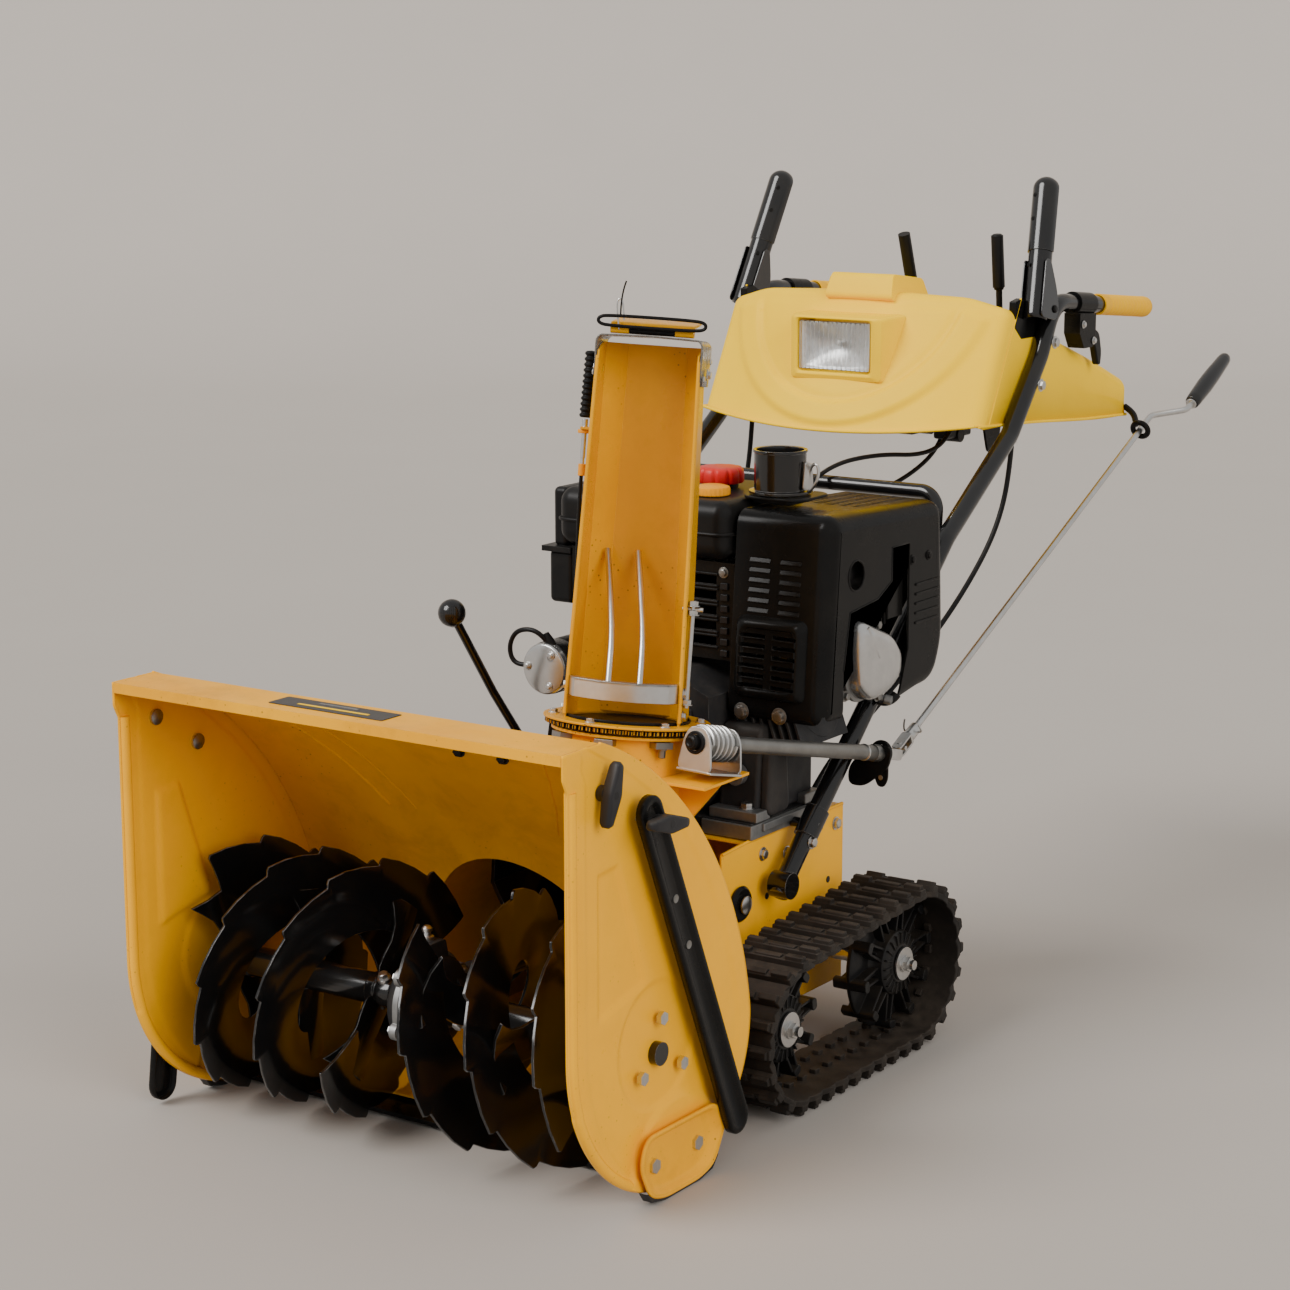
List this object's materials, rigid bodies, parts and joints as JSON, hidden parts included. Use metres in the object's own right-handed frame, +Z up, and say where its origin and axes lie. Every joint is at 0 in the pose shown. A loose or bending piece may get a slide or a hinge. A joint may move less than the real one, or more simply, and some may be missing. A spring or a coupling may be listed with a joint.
{
  "type": "two stage tracked snowblower",
  "caption": "Walk-behind two stage snowblower on rubber tracks, with serrated auger, turning discharge chute, crank, engine, dash console and handlebars.",
  "frame": {"origin": "middle of the machine's footprint box at floor level", "axes": "+X to the machine's left, +Y to the rear where the operator stands, +Z up"},
  "size_m": [0.827, 1.9128, 1.2168],
  "materials": {
    "yellow_paint": "golden yellow powder coat, worn inside",
    "black_paint": "black enamel, scuffed on the auger",
    "satin_black_paint": "satin black powder coat",
    "zinc_plate": "zinc plated steel",
    "cast_metal": "painted casting",
    "engine_alloy": "die-cast alloy",
    "cover_alloy": "satin cast cover",
    "yellow_plastic": "moulded yellow plastic",
    "grip_yellow": "soft ribbed grip",
    "red_plastic": "red moulded cap",
    "black_plastic": "black moulded plastic",
    "smoke_hood": "smoky hood with a painted blade",
    "track_rubber": "dusty black rubber",
    "belt_rubber": "fabric covered V-belt",
    "cable_black": "cable sheath",
    "lamp_glass": "fluted lamp lens"
  },
  "bodies": {
    "chassis": {"housing_shell": "yellow_paint", "side_plate_left": "yellow_paint", "side_plate_right": "yellow_paint", "scraper_bar": "satin_black_paint", "skid_shoes": "yellow_paint", "impeller_housing": "yellow_paint", "auger_gearbox": "cast_metal", "drive_belt": "belt_rubber", "belt_cover": "satin_black_paint", "tractor_frame": "yellow_paint", "track_axles": "zinc_plate", "track_belts": "track_rubber", "handlebars": "black_paint", "crossbar": "black_paint", "handle_grips": "grip_yellow", "console": "yellow_plastic", "headlight_lens": "lamp_glass", "trigger_mounts": "black_plastic", "control_brackets": "zinc_plate", "control_cables": "cable_black", "engine_block": "engine_alloy", "engine_cylinder": "engine_alloy", "valve_cover": "cover_alloy", "engine_cover": "satin_black_paint", "fuel_tank": "satin_black_paint", "blower_housing": "satin_black_paint", "starter_motor": "black_plastic", "carburettor_box": "black_plastic", "intake_cup": "black_plastic", "fasteners": "zinc_plate"},
    "impeller_rotor": {"impeller": "black_paint", "impeller_pulley": "cast_metal"},
    "auger": {"auger_flights": "black_paint", "auger_shaft": "black_paint"},
    "crankshaft": {"engine_pulley": "zinc_plate"},
    "drive_wheel_l": {"drive_wheel_left": "black_plastic"},
    "drive_wheel_r": {"drive_wheel_right": "black_plastic"},
    "idler_wheel_l": {"idler_wheel_left": "black_plastic"},
    "idler_wheel_r": {"idler_wheel_right": "black_plastic"},
    "worm": {"worm_shaft": "zinc_plate"},
    "chute_body": {"chute": "yellow_paint", "chute_guard": "zinc_plate"},
    "deflector_hood": {"deflector": "smoke_hood"},
    "crank": {"crank_rod": "zinc_plate"},
    "crank_handle": {"crank_grip": "black_plastic"},
    "clutch_l": {"clutch_lever_left": "black_paint"},
    "clutch_r": {"clutch_lever_right": "black_paint"},
    "trigger_l": {"steering_trigger_left": "black_plastic"},
    "trigger_r": {"steering_trigger_right": "black_plastic"},
    "deflector_control": {"deflector_lever": "black_plastic"},
    "speed_control": {"speed_lever": "black_plastic"},
    "height_control": {"height_lever": "black_paint"},
    "drift_l": {"drift_cutter_left": "black_paint"},
    "drift_r": {"drift_cutter_right": "black_paint"},
    "knob_l": {"clamp_knob_left": "black_plastic"},
    "knob_r": {"clamp_knob_right": "black_plastic"},
    "front_knob_l": {"front_knob_left": "black_plastic"},
    "front_knob_r": {"front_knob_right": "black_plastic"},
    "tank_cap": {"fuel_cap": "red_plastic"},
    "recoil": {"recoil_handle": "black_plastic"}
  },
  "joints": [
    {"name": "impeller_spin", "type": "hinge", "parent": "chassis", "child": "impeller_rotor", "pos_m": [0, -0.4564, 0.189], "axis": [0, 1, 0], "continuous": true},
    {"name": "auger_spin", "type": "hinge", "parent": "chassis", "child": "auger", "pos_m": [0, -0.7644, 0.189], "axis": [1, 0, 0], "continuous": true},
    {"name": "crankshaft_spin", "type": "hinge", "parent": "chassis", "child": "crankshaft", "pos_m": [0, -0.3404, 0.445], "axis": [0, 1, 0], "continuous": true},
    {"name": "drive_wheel_l_spin", "type": "hinge", "parent": "chassis", "child": "drive_wheel_l", "pos_m": [0.302, -0.0984, 0.123], "axis": [1, 0, 0], "continuous": true},
    {"name": "idler_wheel_l_spin", "type": "hinge", "parent": "chassis", "child": "idler_wheel_l", "pos_m": [0.302, -0.4104, 0.113], "axis": [1, 0, 0], "continuous": true},
    {"name": "drive_wheel_r_spin", "type": "hinge", "parent": "chassis", "child": "drive_wheel_r", "pos_m": [-0.302, -0.0984, 0.123], "axis": [1, 0, 0], "continuous": true},
    {"name": "idler_wheel_r_spin", "type": "hinge", "parent": "chassis", "child": "idler_wheel_r", "pos_m": [-0.302, -0.4104, 0.113], "axis": [1, 0, 0], "continuous": true},
    {"name": "worm_turn", "type": "hinge", "parent": "chassis", "child": "worm", "pos_m": [0.244, -0.4634, 0.507], "axis": [0.1054, 0.9708, -0.2157], "range_deg": [-6900, 3900]},
    {"name": "chute_turn", "type": "hinge", "parent": "chassis", "child": "chute_body", "pos_m": [0.105, -0.4594, 0.521], "axis": [0, 0.1305, 0.9914], "range_deg": [-115, 65]},
    {"name": "crank_turn", "type": "hinge", "parent": "chassis", "child": "crank", "pos_m": [0.287, -0.0314, 0.421], "axis": [0.0055, 0.8977, 0.4406], "range_deg": [-6900, 3900]},
    {"name": "crank_handle_spin", "type": "hinge", "parent": "crank", "child": "crank_handle", "pos_m": [0.344, 0.8016, 0.829], "axis": [0.0055, 0.8977, 0.4406], "continuous": true},
    {"name": "deflector_tilt", "type": "hinge", "parent": "chute_body", "child": "deflector_hood", "pos_m": [0.105, -0.39831, 0.985], "axis": [0.9063, 0.419, -0.0552], "range_deg": [0, 25]},
    {"name": "deflector_lever_swing", "type": "hinge", "parent": "chassis", "child": "deflector_control", "pos_m": [0.04, 0.4596, 0.905], "axis": [1, 0, 0], "range_deg": [-22, 0]},
    {"name": "speed_lever_swing", "type": "hinge", "parent": "chassis", "child": "speed_control", "pos_m": [0.18, 0.4596, 0.905], "axis": [1, 0, 0], "range_deg": [-15, 15]},
    {"name": "height_lever_swing", "type": "hinge", "parent": "chassis", "child": "height_control", "pos_m": [-0.203, -0.2184, 0.262], "axis": [1, 0, 0], "range_deg": [-8, 10]},
    {"name": "clutch_lever_l_press", "type": "hinge", "parent": "chassis", "child": "clutch_l", "pos_m": [0.262, 0.4376, 1.014], "axis": [-0.9927, -0.0111, -0.1197], "range_deg": [0, 66], "stiffness_Nm_per_rad": 1.2, "springref_deg": -34.38},
    {"name": "steering_trigger_l_squeeze", "type": "hinge", "parent": "chassis", "child": "trigger_l", "pos_m": [0.262, 0.5736, 0.971], "axis": [1, 0, 0], "range_deg": [0, 18], "stiffness_Nm_per_rad": 0.4, "springref_deg": -22.92},
    {"name": "clutch_lever_r_press", "type": "hinge", "parent": "chassis", "child": "clutch_r", "pos_m": [-0.262, 0.4376, 1.014], "axis": [-0.9927, 0.0111, 0.1197], "range_deg": [0, 66], "stiffness_Nm_per_rad": 1.2, "springref_deg": -34.38},
    {"name": "steering_trigger_r_squeeze", "type": "hinge", "parent": "chassis", "child": "trigger_r", "pos_m": [-0.262, 0.5736, 0.971], "axis": [1, 0, 0], "range_deg": [0, 18], "stiffness_Nm_per_rad": 0.4, "springref_deg": -22.92},
    {"name": "drift_cutter_l_swing", "type": "hinge", "parent": "chassis", "child": "drift_l", "pos_m": [0.382, -0.8064, 0.498], "axis": [1, 0, 0], "range_deg": [-31, 158]},
    {"name": "drift_cutter_r_swing", "type": "hinge", "parent": "chassis", "child": "drift_r", "pos_m": [-0.382, -0.8064, 0.498], "axis": [1, 0, 0], "range_deg": [0, 190]},
    {"name": "clamp_knob_l_turn", "type": "hinge", "parent": "chassis", "child": "knob_l", "pos_m": [0.4, -0.8064, 0.498], "axis": [1, 0, 0], "continuous": true},
    {"name": "clamp_knob_r_turn", "type": "hinge", "parent": "chassis", "child": "knob_r", "pos_m": [-0.4, -0.8064, 0.498], "axis": [1, 0, 0], "continuous": true},
    {"name": "front_knob_l_turn", "type": "hinge", "parent": "chassis", "child": "front_knob_l", "pos_m": [0.375, -0.8834, 0.546], "axis": [1, 0, 0], "continuous": true},
    {"name": "front_knob_r_turn", "type": "hinge", "parent": "chassis", "child": "front_knob_r", "pos_m": [-0.375, -0.8834, 0.546], "axis": [1, 0, 0], "continuous": true},
    {"name": "fuel_cap_turn", "type": "hinge", "parent": "chassis", "child": "tank_cap", "pos_m": [0.028, -0.1104, 0.8], "axis": [0, 0, 1], "range_deg": [0, 120]},
    {"name": "recoil_pull", "type": "slide", "parent": "chassis", "child": "recoil", "axis": [0, 1, 0], "range_m": [0, 0.45], "stiffness_N_per_m": 20, "springref_m": -0.2}
  ],
  "couplings": [
    {"joint": "auger_spin", "follows": "impeller_spin", "ratio": 0.1},
    {"joint": "crankshaft_spin", "follows": "impeller_spin", "ratio": 2.1},
    {"joint": "idler_wheel_l_spin", "follows": "drive_wheel_l_spin", "ratio": 1.1058},
    {"joint": "idler_wheel_r_spin", "follows": "drive_wheel_r_spin", "ratio": 1.1058},
    {"joint": "chute_turn", "follows": "worm_turn", "ratio": 0.016666},
    {"joint": "crank_turn", "follows": "worm_turn", "ratio": 1},
    {"joint": "deflector_tilt", "follows": "deflector_lever_swing", "ratio": -1.13}
  ]
}
